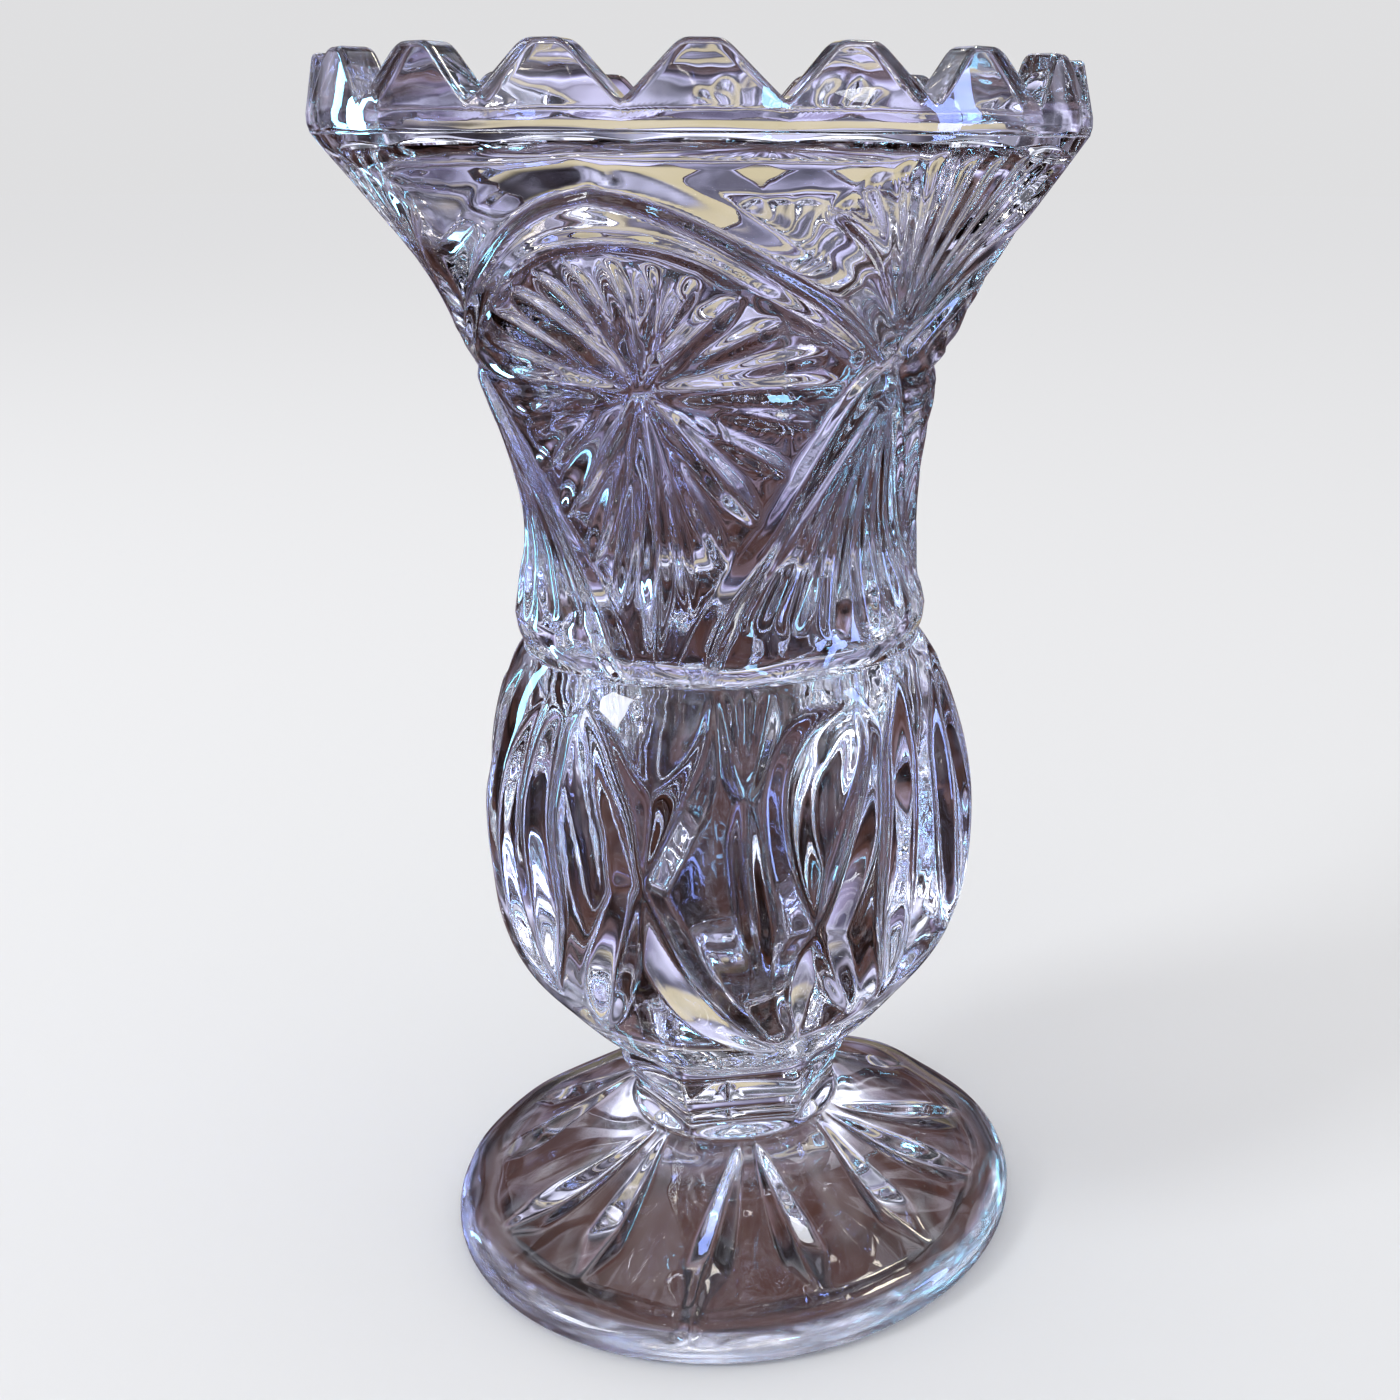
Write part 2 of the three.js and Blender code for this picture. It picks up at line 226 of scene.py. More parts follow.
# Bowl: on each third a shield, an arch over a long V, round an eight-ray star. Fans fill the gaps.
# Paths are [azimuth, height]. The straps of two shields cross halfway between their stars.
CROSSING = 60
ARCH = [
    [0, 138.1], [8, 136.8], [16, 134.5], [25, 131.4], [33, 128.9], [42, 126], [51, 122.4],
    [CROSSING, 118],
]
BAND = [
    [CROSSING, 118], [53.5, 115.6], [46, 109.8], [40, 104.8], [33, 99.2], [23.4, 93.2], [16, 87.6],
    [11.8, 82.5],
]
INNER_ARCH = [[0, 133.2], [8, 132.7], [16, 131], [26, 127.6], [38, 124], [48, 120.6]]
STAR = [0, 116.7]
STAR_TOP = [0, 131]
STAR_FOOT = [0, 86.6]
STAR_RAYS = [[45, 117], [22.3, 127.4], [27.4, 101.5]]
STAR_PETALS = [
    [40.5, 120.8], [32, 124.8], [14.6, 129.4], [7.2, 130.6], [41, 112.4], [35.6, 106.8], [18.6, 96.6],
    [9.4, 91.6],
]
PETAL_START = 0.3  # share of the way from the star's centre
# A fan's rays end this many degrees from the crossing, at this height.
UPPER_FAN = [[2.8, 140], [9.2, 140.4], [14.2, 139.8], [18.5, 138.6], [22.2, 136]]
LOWER_FAN = [[0, 88.4], [12.4, 88.8], [24.6, 90], [35, 90.6]]


def leaf(surface, mirrored, start, end, depth, half_width):
    """A straight mitre that swells from a point and closes to one, as a wheel leaves it."""
    middle = [(start[0] + end[0]) / 2, (start[1] + end[1]) / 2]
    depths = [0.12 * depth, 0.75 * depth, depth, 0.9 * depth, 0.1 * depth]
    halves = [0.2 * half_width, 0.75 * half_width, half_width, 0.95 * half_width, 0.3 * half_width]
    around(surface, mirrored, [start, middle, end], depths, halves)


def fan_ray(end, shares, heights):
    """A curved path from near the crossing to end degrees from it, by shares of that angle."""
    return [[CROSSING - end * share, height] for share, height in zip(shares, heights)]


def bowl_cuts(surface):
    around(surface, True, INNER_ARCH, [0.8, 0.75, 0.4], [1.3, 1.2, 0.9], tilt=-0.3)
    for azimuth, height in STAR_PETALS:
        start = [azimuth * PETAL_START, STAR[1] + (height - STAR[1]) * PETAL_START]
        leaf(surface, True, start, [azimuth, height], 1.0, 1.35)
    for end in STAR_RAYS:
        leaf(surface, True, STAR, end, 1.55, 2.2)
    leaf(surface, False, STAR, STAR_TOP, 1.55, 2.1)
    leaf(surface, False, STAR, STAR_FOOT, 1.6, 2.3)
    for end, top in UPPER_FAN:
        path = fan_ray(end, (0.12, 0.55, 1), (122.5, 131, top))
        around(surface, True, path, [0.25, 0.8, 1.15], [0.5, 1.2, 1.75])
    for end, low in LOWER_FAN:
        path = fan_ray(end, (0.08, 0.5, 1), (113.6, 101.5, low))
        depth, half_width = [0.2, 0.7, 1.15, 1.3, 0.6], [0.4, 1.3, 2.2, 2.7, 1.8]
        around(surface, end > 0, path, depth, half_width, "flute")
    around(surface, True, ARCH, [1.75, 1.7, 1.5, 1.2], [2.2, 2.2, 2.1, 1.6], tilt=0.6, clean=True)
    around(surface, True, BAND, [1.1, 1.3, 1.35, 1.4], [1.8, 2.1, 2.2, 2.2], tilt=-0.55, clean=True)
    crossing_facet = [[CROSSING - 0.6, 118], [CROSSING + 0.6, 118]]
    around(surface, False, crossing_facet, 0.7, 1.9, "flute")


FACET_HALF_WIDTH = 21  # in degrees, with a little overlap
FACET_RADIUS = 23.7
FACET_SPREAD = 0.72
FACET_HEIGHT = 5


def waist_facets(surface):
    """Three flat facets on each third, nine in all, round the bowl's lower edge."""
    rise = (surface.outline[:, 1] - WAIST)[:, None]
    for middle in (-40, 0, 40):
        columns = np.abs(surface.azimuths - middle) < FACET_HALF_WIDTH
        offset = np.radians(surface.azimuths[columns] - middle)
        plane = (FACET_RADIUS + FACET_SPREAD * rise) / np.cos(offset)
        cut = np.where(rise < FACET_HEIGHT, surface.outline[:, :1] - plane, 0)
        surface.depth[:, columns] = np.maximum(surface.depth[:, columns], cut)


# Bulb: long curved mitres that cross and close into pointed leaves, as [path, half width].
BULB_MITRES = [
    [[[-20, 79.6], [-26, 77], [-28.2, 71.5], [-28, 65], [-25.6, 58.6], [-25, 52], [-27, 43.4]], 3.1],
    [[[-20, 79.6], [-13, 76.6], [-8.6, 72.3], [-4, 67.4], [-1.6, 60], [2.6, 54.6], [6.4, 49.8],
      [12.4, 44], [20, 38.4], [32, 33.4]], 3.3],
    [[[14.6, 81.6], [13, 76.4], [9.3, 71.8], [4.4, 66.8], [-1.6, 60], [-6.2, 53], [-9.6, 48],
      [-13, 42.4], [-20, 37]], 3.1],
    [[[21, 70], [16.4, 81.8]], 1.6],
    [[[21, 70], [22.6, 82]], 1.4],
    [[[21, 70], [29.4, 82]], 1.6],
    [[[21, 72], [21.2, 62], [24, 49]], 2.0],
    [[[52, 78.6], [44.6, 78], [38, 76.2], [32.2, 72.3], [30.6, 66.6], [32.7, 59.6], [37.2, 52.8],
      [42, 46], [49, 39.4]], 3.1],
    [[[52, 78.6], [54, 74.8], [51.6, 69.4], [46, 62.8], [40.6, 56.4], [37.2, 52.8], [32.2, 49.6],
      [30.6, 44], [34, 37]], 3.1],
    [[[69, 80.6], [63, 74], [59, 64], [57, 52], [58.6, 40]], 3.1],
    [[[-33, 79], [-40, 70], [-41.6, 58], [-36, 48], [-27, 43.4]], 2.8],
]
BULB_SLOPE = 0.62  # depth for each millimetre of half width


def bulb_cuts(surface):
    for path, half in BULB_MITRES:
        deep = half * BULB_SLOPE
        around(surface, False, path, [0.2, deep, deep, deep, 0.2], [0.6, half, half, half, 0.6])


# Foot: thirteen rays in groups, as [azimuth of the group at the neck, azimuths of the rays' ends].
RAY_GROUPS = [
    [23, [8, 35]], [66, [63, 91, 118]], [150, [146, 173]],
    [206, [202, 229]], [264, [258, 285]], [338, [314, 340]],
]
RAY_HALF_WIDTH = [0.4, 0.7, 1.1, 1.5, 1.9, 2.3, 2.7, 3.0, 2.9, 0.9]
RAY_SLOPE = 1.2
RAY_HEIGHTS = [15.4, 11.4, 5.6]

# Waves round the foot's edge, as [number, phase, size], and the notch that the mould's seam leaves.
EDGE_WAVES = [[7, 40, 0.5], [12, 0, 0.35]]
EDGE_WAVE_HEIGHTS = (3, 4.6)  # where the waves start and where they are full
EDGE_WAVE_REACH = 2  # how far they run up the slope
SEAM_AZIMUTH = 7.5
SEAM_HALF_WIDTH = 1.4
SEAM_DEPTH = 1.3


def foot_cuts(surface):
    depth = [RAY_SLOPE * half for half in RAY_HALF_WIDTH]
    for root, tips in RAY_GROUPS:
        for tip in tips:
            start = root + (tip - root) / 3
            azimuths = [start, (start + tip) / 2, tip]
            for turn in (-360, 0, 360):
                path = [[a + turn, z] for a, z in zip(azimuths, RAY_HEIGHTS)]
                surface.cut(path, depth, RAY_HALF_WIDTH)


def edge_wave():
    """Change of radius at the top of the foot's edge, for each column."""
    wave = -SEAM_DEPTH * np.exp(-(((AZIMUTHS - SEAM_AZIMUTH) / SEAM_HALF_WIDTH) ** 2))
    for number, phase, size in EDGE_WAVES:
        wave += size * np.sin(np.radians(AZIMUTHS * number + phase))
    return wave


# ---------------------------------------------------------------- rows of the whole vase

def ring(radius, z):
    """One row of points: radius and height are numbers or one value for each column."""
    radius = radius * np.ones(COLUMNS) * swell(AZIMUTHS, z * np.ones(COLUMNS))
    a = np.radians(AZIMUTHS)
    return np.column_stack([radius * np.sin(a), -radius * np.cos(a), z * np.ones(COLUMNS)])


def rings(outline, depth=None):
    """Rows for an outline, cut back by a depth for each row and column."""
    if depth is None:
        depth = np.zeros((len(outline), COLUMNS))
    return [ring(r - d, z) for (r, z), d in zip(outline, depth)]


def tiled(field):
    """A field over one third of the azimuths, repeated round the vase."""
    start = np.searchsorted(AZIMUTHS, -REPEAT / 2)
    return np.roll(np.hstack([field] * 3), start, axis=1)


NECK_PHASE = -9
NECK_BLEND = 1.6


def hexagon(radius_of_corner):
    """Radius of a six-sided section with slightly rounded corners, for each column."""
    turn = (AZIMUTHS - NECK_PHASE + 30) % 60 - 30
    flat = radius_of_corner * math.cos(math.radians(30))
    side = flat / np.cos(np.radians(30 - np.abs(turn)))
    return soft_min(side, np.full(COLUMNS, radius_of_corner * 0.985), 0.3)


def foot_rows():
    """From the middle of the dome out to the ground ring, round the edge and up the slope."""
    edge = resample(spline(FOOT_EDGE, 0.05), EDGE_ROW)
    slope = spline(FOOT_SLOPE, ROW)
    surface = Surface(slope, AZIMUTHS)
    foot_cuts(surface)
    surface.soften()
    surface.depth[-1] = 0
    wave = edge_wave()
    low = slope[0, 1]
    fade = 1 - smoothstep(slope[:, 1], low, low + EDGE_WAVE_REACH)
    surface.depth -= np.outer(fade, wave)
    rows = rings(resample(spline(DOME, 0.1), DOME_ROW))
    for radius, z in edge[:-1]:
        rows.append(ring(radius + wave * smoothstep(z, *EDGE_WAVE_HEIGHTS), z))
    return rows + rings(slope, surface.depth)


def neck_rows():
    """Six-sided below and in the band, round where it meets the bulb."""
    low, band, high = (spline(part, NECK_ROW) for part in (NECK_LOW, NECK_BAND, NECK_HIGH))
    band_top = NECK_BAND[1][1]
    rows = []
    for radius, z in np.vstack([low, band[1:], high[1:]]):
        share = smoothstep(z, FOOT_TOP, FOOT_TOP + NECK_BLEND) * (1 - smoothstep(z, band_top, NECK_TOP))
        rows.append(ring(radius * (1 - share) + hexagon(radius) * share, z))
    return rows


def softened(outline, third):
    """A third's cuts repeated round the vase, with their edges rounded."""
    field = Surface(outline, AZIMUTHS)
    field.depth = tiled(third.depth)
    field.soften()
    return field.depth


def bulb_rows():
    outline = spline(BULB, ROW)
    surface = Surface(outline, THIRD)
    bulb_cuts(surface)
    heights = outline[:, 1]
    surface.depth *= smoothstep(heights, NECK_TOP, NECK_TOP + 3)[:, None]
    surface.depth *= 1 - smoothstep(heights, WAIST - 1.2, WAIST)[:, None]
    return rings(outline, softened(outline, surface))


def bowl_rows():
    outline = np.vstack([spline(BEVEL, ROW), spline(BOWL, ROW)[1:]])
    surface = Surface(outline, THIRD)
    bowl_cuts(surface)
    waist_facets(surface)
    heights = outline[:, 1]
    surface.depth *= 1 - smoothstep(heights, RIM_CREASE - 1.6, RIM_CREASE - 0.2)[:, None]
    return rings(outline, softened(outline, surface))


# Rim: teeth with flat tops and rounded shoulders between V notches.
TEETH = 18
TOOTH_PHASE = -3
TOOTH_RADIUS = 44.5
TOOTH_TOP = HEIGHT - 0.02
TOOTH_HALF_TOP = 2.1
SHOULDER_ROUNDING = 0.9
CENTRE_ROUNDING = 0.2
NOTCH_FLOOR = 146.2
NOTCH_ROUNDING = 0.245
LEAN_START = 145.6
LEAN = 0.2
CREASE_INSET = 0.25
CREASE_INSET_TOP = 144.6
RIM_INSIDE = 40.3
LIP = 0.7
LIP_ANGLES = np.radians([20, 42, 66, 90])


def tooth_height():
    """Height of the rim's top for each column."""
    pitch = 360 / TEETH
    offset = np.abs((AZIMUTHS - TOOTH_PHASE + pitch / 2) % pitch - pitch / 2)
    across = np.radians(offset) * TOOTH_RADIUS
    end = math.radians(pitch / 2) * TOOTH_RADIUS
    slope = (HEIGHT - NOTCH_FLOOR) / (end - TOOTH_HALF_TOP)
    rise = (end - np.hypot(across, CENTRE_ROUNDING)) * slope
    flank = NOTCH_FLOOR + np.hypot(rise, NOTCH_ROUNDING)
    level = np.full(COLUMNS, TOOTH_TOP)
    return np.minimum(soft_min(flank, level, SHOULDER_ROUNDING), level)


def rim_outside(z):
    """Outer radius of the rim, a little in at the crease and leaning in over the teeth."""
    inset = CREASE_INSET * (1 - smoothstep(z, RIM_CREASE, CREASE_INSET_TOP))
    return RIM_RADIUS - LEAN * np.maximum(z - LEAN_START, 0) - inset


def rim_rows():
    """Up the outside, over the teeth and down the inside to the crease."""
    top = tooth_height()
    shoulder = top - LIP
    outer = rim_outside(shoulder)
    rows = []
    for share in np.linspace(0, 1, 20):
        z = RIM_CREASE + share * (shoulder - RIM_CREASE)
        rows.append(ring(rim_outside(z), z))
    for angle in LIP_ANGLES:
        rows.append(ring(outer - LIP * (1 - math.cos(angle)), shoulder + LIP * math.sin(angle)))
    for share in np.linspace(0.1, 0.9, 9):
        rows.append(ring(outer - LIP + share * (RIM_INSIDE + 2 * LIP - outer), top))
    for angle in reversed(LIP_ANGLES):
        rows.append(ring(RIM_INSIDE + LIP * (1 - math.cos(angle)), shoulder + LIP * math.sin(angle)))
    for share in np.linspace(0, 1, 8):
        radius = RIM_INSIDE + share * (HOLLOW[0][0] - RIM_INSIDE)
        rows.append(ring(radius, shoulder + share * (RIM_CREASE - shoulder)))
    return rows


# ---------------------------------------------------------------- meshes

def piece(name, rows, material, joint_glass, joints, closed):
    """One closed solid from rows of points. joints are the numbers of the strips between rows that
    are only a face against the next section. closed joins the last row to the first, and otherwise
    each end is closed with a flat fan, which counts as strip -1 at the first row and as strip
    len(rows) at the last."""
    count = len(rows)
    points = np.vstack(rows)
    quads, kinds = [], []
    column = np.arange(COLUMNS)
    beside = (column + 1) % COLUMNS
    for i in range(count if closed else count - 1):
        a, b = i * COLUMNS, ((i + 1) % count) * COLUMNS
        quads.append(np.column_stack([a + column, a + beside, b + beside, b + column]))
        kinds.append(np.full(COLUMNS, i in joints))
    quads = np.vstack(quads)
    kinds = np.concatenate(kinds)
    fans = []
    if not closed:
        for row, joint in ((0, -1 in joints), (count - 1, count in joints)):
            centre = points[row * COLUMNS:(row + 1) * COLUMNS].mean(axis=0)
            points = np.vstack([points, centre])
            a, b = row * COLUMNS + column, row * COLUMNS + beside
            if row == 0:
                a, b = b, a
            fans.append(np.column_stack([a, b, np.full(COLUMNS, len(points) - 1)]))
            kinds = np.concatenate([kinds, np.full(COLUMNS, joint)])
    corners = np.concatenate([quads.ravel(), *[f.ravel() for f in fans]])
    sizes = np.concatenate([np.full(len(quads), 4), *[np.full(len(f), 3) for f in fans]])
    starts = np.concatenate([[0], np.cumsum(sizes)[:-1]])
    mesh = bpy.data.meshes.new(name)
    mesh.vertices.add(len(points))
    mesh.vertices.foreach_set("co", (points * MM).astype(np.float32).ravel())
    mesh.loops.add(len(corners))
    mesh.loops.foreach_set("vertex_index", corners.astype(np.int32))
    mesh.polygons.add(len(sizes))
    mesh.polygons.foreach_set("loop_start", starts.astype(np.int32))
    mesh.polygons.foreach_set("material_index", kinds.astype(np.int32))
    mesh.update(calc_edges=True)
    flat = mesh.attributes.new("sharp_face", "BOOLEAN", "FACE")
    flat.data.foreach_set("value", kinds.astype(bool))
    mesh.materials.append(material)
    mesh.materials.append(joint_glass)
    mesh.validate()
    made = bpy.data.objects.new(name, mesh)
    bpy.context.scene.collection.objects.link(made)
    return made


# ---------------------------------------------------------------- materials

GLASS_COLOUR = (0.93, 0.93, 0.985, 1)
LEAD_CRYSTAL_IOR = 1.545
RIPPLE_SCALE = 130
RIPPLE_DISTANCE = 0.0004
GRAIN_SCALE = 900
GRAIN_RANGE = (0.45, 0.8)  # of the noise, from smooth to grain
GRAIN_ROUGHNESS = 0.05
WEAR_HEIGHT = 0.0006
WEAR_ROUGHNESS = 0.12


def nodes_of(name):
    """A new material with its node tree and its Principled shader."""
    material = bpy.data.materials.new(name)
    material.use_nodes = True
    tree = material.node_tree
    return material, tree, tree.nodes["Principled BSDF"]


def noise(tree, vector, scale, detail):
    """A noise texture's value, as a node's output."""
    node = tree.nodes.new("ShaderNodeTexNoise")
    node.inputs["Scale"].default_value = scale
    node.inputs["Detail"].default_value = detail
    tree.links.new(vector, node.inputs["Vector"])
    return node.outputs["Fac"]


def maths(tree, operation, *values):
    """Arithmetic on node outputs and plain numbers, as a node's output."""
    node = tree.nodes.new("ShaderNodeMath")
    node.operation = operation
    for socket, value in zip(node.inputs, values):
        if isinstance(value, (int, float)):
            socket.default_value = value
        else:
            tree.links.new(value, socket)
    return node.outputs["Value"]


def map_range(tree, value, low, high, to_low, to_high, interpolation="LINEAR"):
    """A step from one pair of values to another, as a node's output."""
    node = tree.nodes.new("ShaderNodeMapRange")
    node.interpolation_type = interpolation
    for name, number in zip(("From Min", "From Max", "To Min", "To Max"), (low, high, to_low, to_high)):
        node.inputs[name].default_value = number
    tree.links.new(value, node.inputs["Value"])
    return node.outputs["Result"]


def joint_material():
    """Where two sections meet, the glass runs on, so their touching faces are fully clear."""
    material, _, shader = nodes_of("glass_runs_on")
    shader.inputs["Alpha"].default_value = 0
    return material


def crystal(name, ripple, worn=False):
    """Colourless lead crystal: fire-polished ripples, a fine grain in the gloss and, where it is
    worn, scuffs close to the ground."""
    material, tree, shader = nodes_of(name)
    link, new = tree.links.new, tree.nodes.new
    shader.inputs["Base Color"].default_value = GLASS_COLOUR
    shader.inputs["Transmission Weight"].default_value = 1
    shader.inputs["IOR"].default_value = LEAD_CRYSTAL_IOR
    place = new("ShaderNodeTexCoord").outputs["Object"]
    bump = new("ShaderNodeBump")
    bump.inputs["Strength"].default_value = ripple
    bump.inputs["Distance"].default_value = RIPPLE_DISTANCE
    link(noise(tree, place, RIPPLE_SCALE, 2), bump.inputs["Height"])
    link(bump.outputs["Normal"], shader.inputs["Normal"])
    rough = map_range(tree, noise(tree, place, GRAIN_SCALE, 3), *GRAIN_RANGE, 0, GRAIN_ROUGHNESS)
    if worn:
        split = new("ShaderNodeSeparateXYZ")
        link(place, split.inputs["Vector"])
        scuffs = map_range(tree, split.outputs["Z"], WEAR_HEIGHT, 0, 0, WEAR_ROUGHNESS)
        rough = maths(tree, "ADD", rough, scuffs)
    link(rough, shader.inputs["Roughness"])
    return material


# ---------------------------------------------------------------- the vase

def build_vase():
    foot, neck, bulb, bowl, rim = foot_rows(), neck_rows(), bulb_rows(), bowl_rows(), rim_rows()
    hollow = rings(spline(HOLLOW, INSIDE_ROW))
    heights = np.array([row[0, 2] for row in hollow])
    seam = int(np.abs(heights - WAIST).argmin())
    hollow[seam][:, 2] = WAIST
    bowl_inside, bulb_inside = hollow[:seam + 1], hollow[seam:]
    bowl_joints = {len(bowl) - 1, len(bowl) + len(bowl_inside) - 1}
    # Node, rows, strips that are joints, whether the last row joins the first, and the material.
    sections = [
        ("foot", foot, {len(foot)}, False, crystal("crystal_foot", 0.16, worn=True)),
        ("neck", neck, {-1, len(neck)}, False, crystal("crystal_neck", 0.14)),
        ("bulb", bulb + bulb_inside, {-1, len(bulb) - 1}, False, crystal("crystal_bulb", 0.2)),
        ("bowl", bowl + bowl_inside, bowl_joints, True, crystal("crystal_bowl", 0.18)),
        ("rim", rim, {len(rim) - 1}, True, crystal("crystal_rim", 0.18)),
    ]
    joint_glass = joint_material()
    for node, rows, joints, closed, material in sections:
        solid = piece(node + "_glass", rows, material, joint_glass, joints, closed)
        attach(solid, "root")
        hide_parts(node)


# ---------------------------------------------------------------- studio

# The camera stands off the vase's axis at an azimuth of CAMERA_TURN. Its yaw is from straight ahead.
CAMERA_TURN = 17.5
CAMERA_DISTANCE = 0.2093
CAMERA_HEIGHT = 0.1417
CAMERA_YAW = 6.37
CAMERA_PITCH = 16.23
CAMERA_ROLL = 0.22
CAMERA_LENS = 43
CAMERA_SHIFT = (-0.1447, -0.0435)


def add_camera():
    """From the front and a little above, close to the vase."""
    turn, roll = math.radians(CAMERA_TURN), math.radians(CAMERA_ROLL)
    yaw, pitch = math.radians(CAMERA_YAW) - turn, math.radians(CAMERA_PITCH)
    place = Vector((CAMERA_DISTANCE * math.sin(turn), -CAMERA_DISTANCE * math.cos(turn), CAMERA_HEIGHT))
    forward = Vector((math.sin(yaw) * math.cos(pitch), math.cos(yaw) * math.cos(pitch), -math.sin(pitch)))
    across = Vector((math.cos(yaw), -math.sin(yaw), 0))
    upward = across.cross(forward)
    right = across * math.cos(roll) + upward * math.sin(roll)
    up = upward * math.cos(roll) - across * math.sin(roll)
    data = bpy.data.cameras.new("camera")
    data.sensor_width = 36
    data.lens = CAMERA_LENS
    data.shift_x, data.shift_y = CAMERA_SHIFT
    data.clip_start, data.clip_end = 0.01, 20
    camera = bpy.data.objects.new("camera", data)
    rotation = Matrix((right, up, -forward)).transposed().to_4x4()
    camera.matrix_world = Matrix.Translation(place) @ rotation
    bpy.context.scene.collection.objects.link(camera)
    bpy.context.scene.camera = camera


FLOOR_COLOUR = (0.78, 0.78, 0.785, 1)
FLOOR_RADIUS = 6
FLOOR_DROP = 0.0001


def add_floor():
    """Pale and matt. The glass neither shows nor mirrors it, but shows the room instead."""
    material, _, shader = nodes_of("floor")
    shader.inputs["Base Color"].default_value = FLOOR_COLOUR
    shader.inputs["Roughness"].default_value = 1
    shader.inputs["Specular IOR Level"].default_value = 0
    place = (0, 0, -FLOOR_DROP)
    bpy.ops.mesh.primitive_circle_add(vertices=96, radius=FLOOR_RADIUS, fill_type="NGON", location=place)
    floor = bpy.context.object
    floor.name = "floor"
    floor.data.materials.append(material)
    floor.visible_transmission = False
    floor.visible_glossy = False


AIM = Vector((0, 0, 0.08))


def add_light(name, place, size, power, colour, on_floor=False):
    """A soft box turned to the vase. It shows in the glass and not to the camera, and it lights the
    floor only if asked."""
    data = bpy.data.lights.new(name, "AREA")
    data.shape = "RECTANGLE"
    data.size, data.size_y = size
    data.energy = power
    data.color = colour
    light = bpy.data.objects.new(name, data)
    light.location = place
    light.rotation_euler = (AIM - Vector(place)).to_track_quat("-Z", "Y").to_euler()
    light.visible_camera = False
    light.visible_diffuse = on_floor
    bpy.context.scene.collection.objects.link(light)


def add_lights():
    add_light("window", (-0.92, -0.75, 0.89), (0.35, 0.48), 6.6, (0.94, 0.97, 1), on_floor=True)
    add_light("cool_left", (-0.5, 0.12, 0.12), (0.05, 0.3), 0.9, (0.26, 0.72, 1))
    add_light("cool_right", (0.5, 0.02, 0.16), (0.06, 0.4), 1.4, (0.3, 0.42, 1))
    add_light("cool_front", (0.3, -0.42, 0.34), (0.06, 0.14), 0.6, (0.3, 0.66, 1))
    add_light("lamp", (0.1, 0.3, 0.6), (0.12, 0.08), 0.6, (1, 0.92, 0.74))


def mixed(tree, factor, first, colour):
    """A node's colour mixed with a plain one by a factor. 6, 7 and 2 are the colour sockets."""
    node = tree.nodes.new("ShaderNodeMix")
    node.data_type = "RGBA"
    tree.links.new(factor, node.inputs["Factor"])
    tree.links.new(first, node.inputs[6])
    node.inputs[7].default_value = colour
    return node.outputs[2]


# The room's colours from below to above, as [place on the ramp, colour].
ROOM_COLOURS = [
    [0.0, (0.024, 0.01, 0.007, 1)], [0.3, (0.04, 0.019, 0.015, 1)], [0.4, (0.09, 0.06, 0.065, 1)],
    [0.47, (0.22, 0.2, 0.32, 1)], [0.53, (0.5, 0.5, 0.66, 1)], [0.59, (0.3, 0.29, 0.38, 1)],
    [0.65, (0.07, 0.06, 0.075, 1)], [0.7, (0.34, 0.34, 0.46, 1)], [0.86, (0.8, 0.83, 0.9, 1)],
    [1.0, (0.4, 0.4, 0.5, 1)],
]
PATCH_SCALE = 2.6
PATCH_SHIFT = 1.3  # how far the patches move the colours up and down
LEVELS = (-0.35, 1.65)
BRIGHTNESS_SCALE = 4.2
BRIGHTNESS = (0.25, 2.5)
CREAM = (0.82, 0.72, 0.46, 1)
CREAM_TOWARDS = (-0.25, 0.97, 0)
CREAM_HEIGHT = 0.17
FLOOR_LIGHT = (0.95, 0.95, 0.96, 1)
BACKDROP = (0.74, 0.74, 0.75, 1)


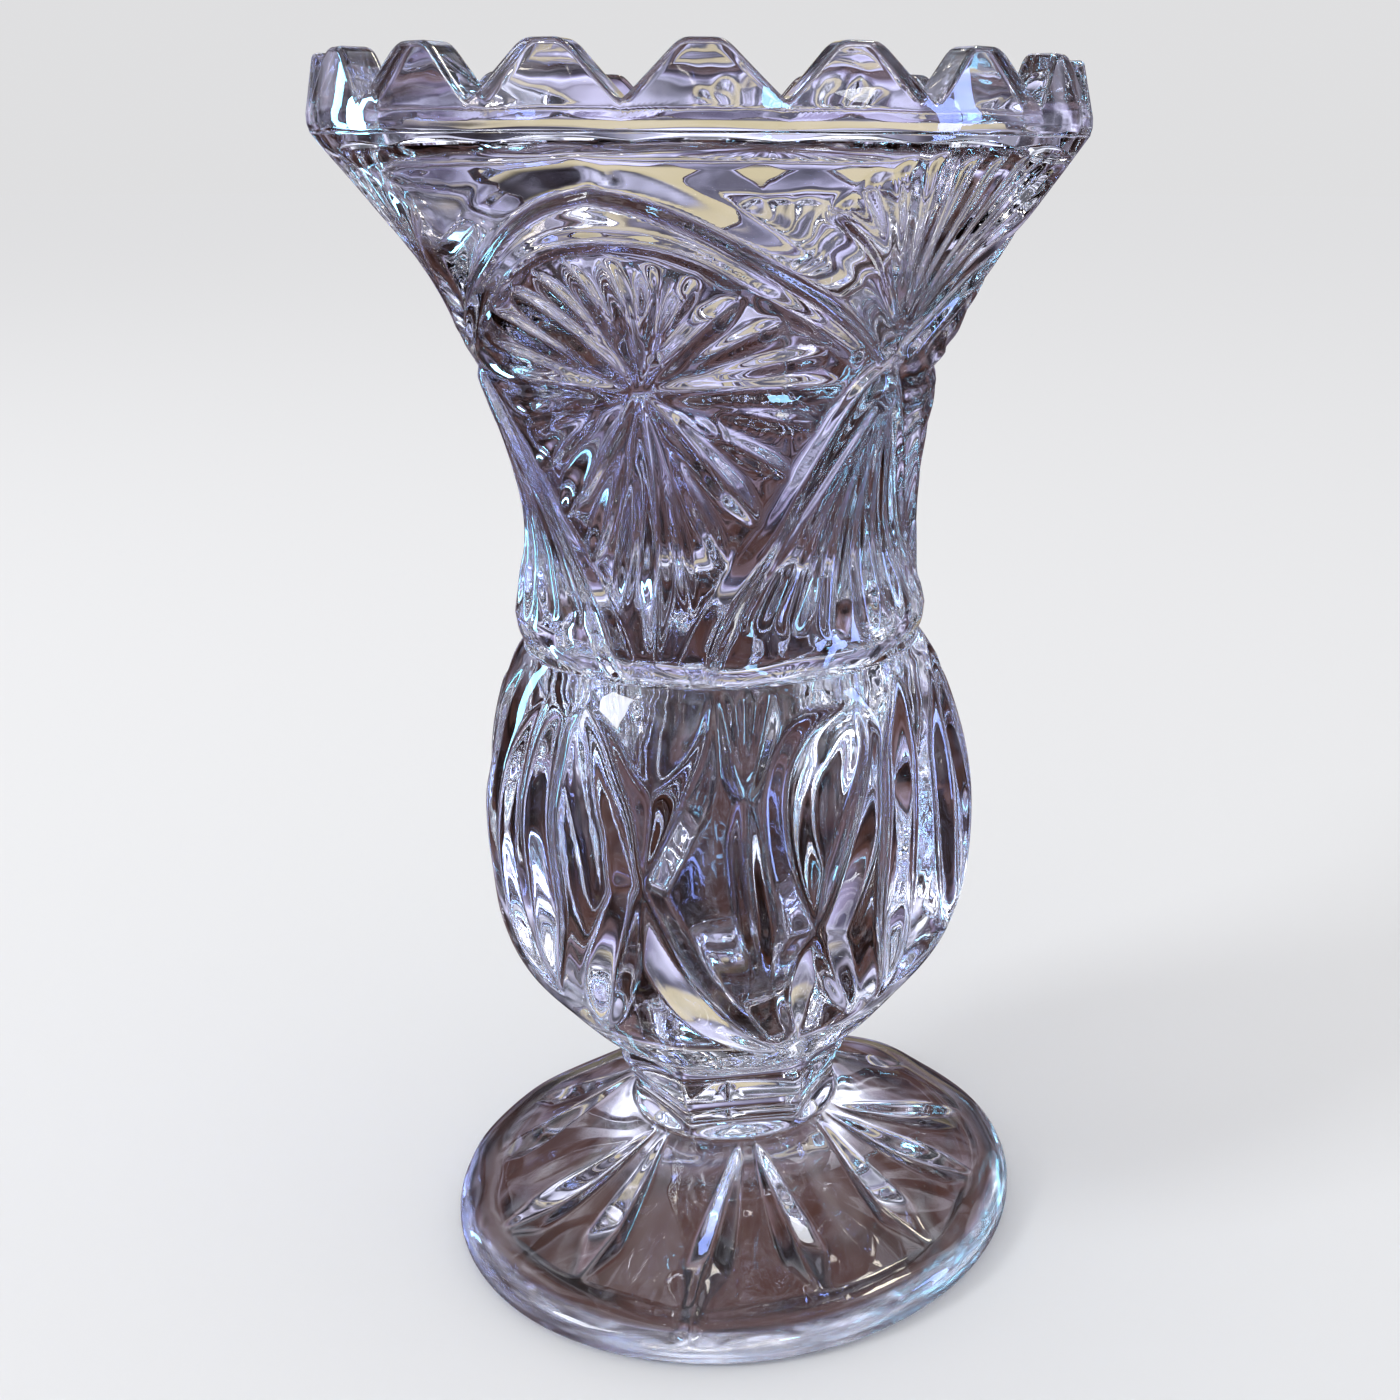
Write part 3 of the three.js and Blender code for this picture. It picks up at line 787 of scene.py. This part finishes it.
def room_colour(tree, direction, height):
    """Brown below, lilac at eye height, a dark band and pale overhead, in broad uneven patches."""
    patches = noise(tree, direction, PATCH_SCALE, 3)
    uneven = maths(tree, "MULTIPLY_ADD", patches, PATCH_SHIFT, height)
    level = map_range(tree, uneven, *LEVELS, 0, 1)
    ramp = tree.nodes.new("ShaderNodeValToRGB")
    elements = ramp.color_ramp.elements
    elements[0].position, elements[0].color = ROOM_COLOURS[0]
    elements[1].position, elements[1].color = ROOM_COLOURS[-1]
    for position, colour in ROOM_COLOURS[1:-1]:
        elements.new(position).color = colour
    tree.links.new(level, ramp.inputs["Fac"])
    glow = noise(tree, direction, BRIGHTNESS_SCALE, 2)
    bright = map_range(tree, glow, 0.4, 0.64, *BRIGHTNESS, "SMOOTHSTEP")
    lit = tree.nodes.new("ShaderNodeVectorMath")
    lit.operation = "SCALE"
    tree.links.new(ramp.outputs["Color"], lit.inputs["Vector"])
    tree.links.new(bright, lit.inputs["Scale"])
    return lit.outputs["Vector"]


def cream_share(tree, direction, height):
    """How much of a cream wall is seen, in one patch a little above the level behind the vase."""
    towards = tree.nodes.new("ShaderNodeVectorMath")
    towards.operation = "DOT_PRODUCT"
    towards.inputs[1].default_value = CREAM_TOWARDS
    tree.links.new(direction, towards.inputs[0])
    across = map_range(tree, towards.outputs["Value"], 0.93, 0.98, 0, 0.9, "SMOOTHSTEP")
    distance = maths(tree, "ABSOLUTE", maths(tree, "ADD", height, -CREAM_HEIGHT))
    upright = map_range(tree, distance, 0.1, 0.06, 0, 1, "SMOOTHSTEP")
    return maths(tree, "MULTIPLY", across, upright)


def add_world():
    """Pale and even for the backdrop and for the floor's light. In the glass it is a room."""
    world = bpy.data.worlds.new("room")
    bpy.context.scene.world = world
    world.use_nodes = True
    world.cycles.sampling_method = "NONE"
    tree = world.node_tree
    direction = tree.nodes.new("ShaderNodeTexCoord").outputs["Generated"]
    split = tree.nodes.new("ShaderNodeSeparateXYZ")
    tree.links.new(direction, split.inputs["Vector"])
    height = split.outputs["Z"]
    room = room_colour(tree, direction, height)
    in_glass = mixed(tree, cream_share(tree, direction, height), room, CREAM)
    rays = tree.nodes.new("ShaderNodeLightPath")
    lighting = mixed(tree, rays.outputs["Is Diffuse Ray"], in_glass, FLOOR_LIGHT)
    seen = mixed(tree, rays.outputs["Is Camera Ray"], lighting, BACKDROP)
    tree.links.new(seen, tree.nodes["Background"].inputs["Color"])


def glass_paths():
    """Enough bounces for light to cross all of the vase's walls."""
    cycles = bpy.context.scene.cycles
    cycles.max_bounces = 24
    cycles.transmission_bounces = 24
    cycles.glossy_bounces = 8
    cycles.transparent_max_bounces = 48


def plain_colours():
    """Colours are shown as they are, because a film curve would grey them."""
    bpy.context.scene.view_settings.view_transform = "Standard"


build_vase()
add_camera()
add_floor()
add_lights()
add_world()
glass_paths()
plain_colours()
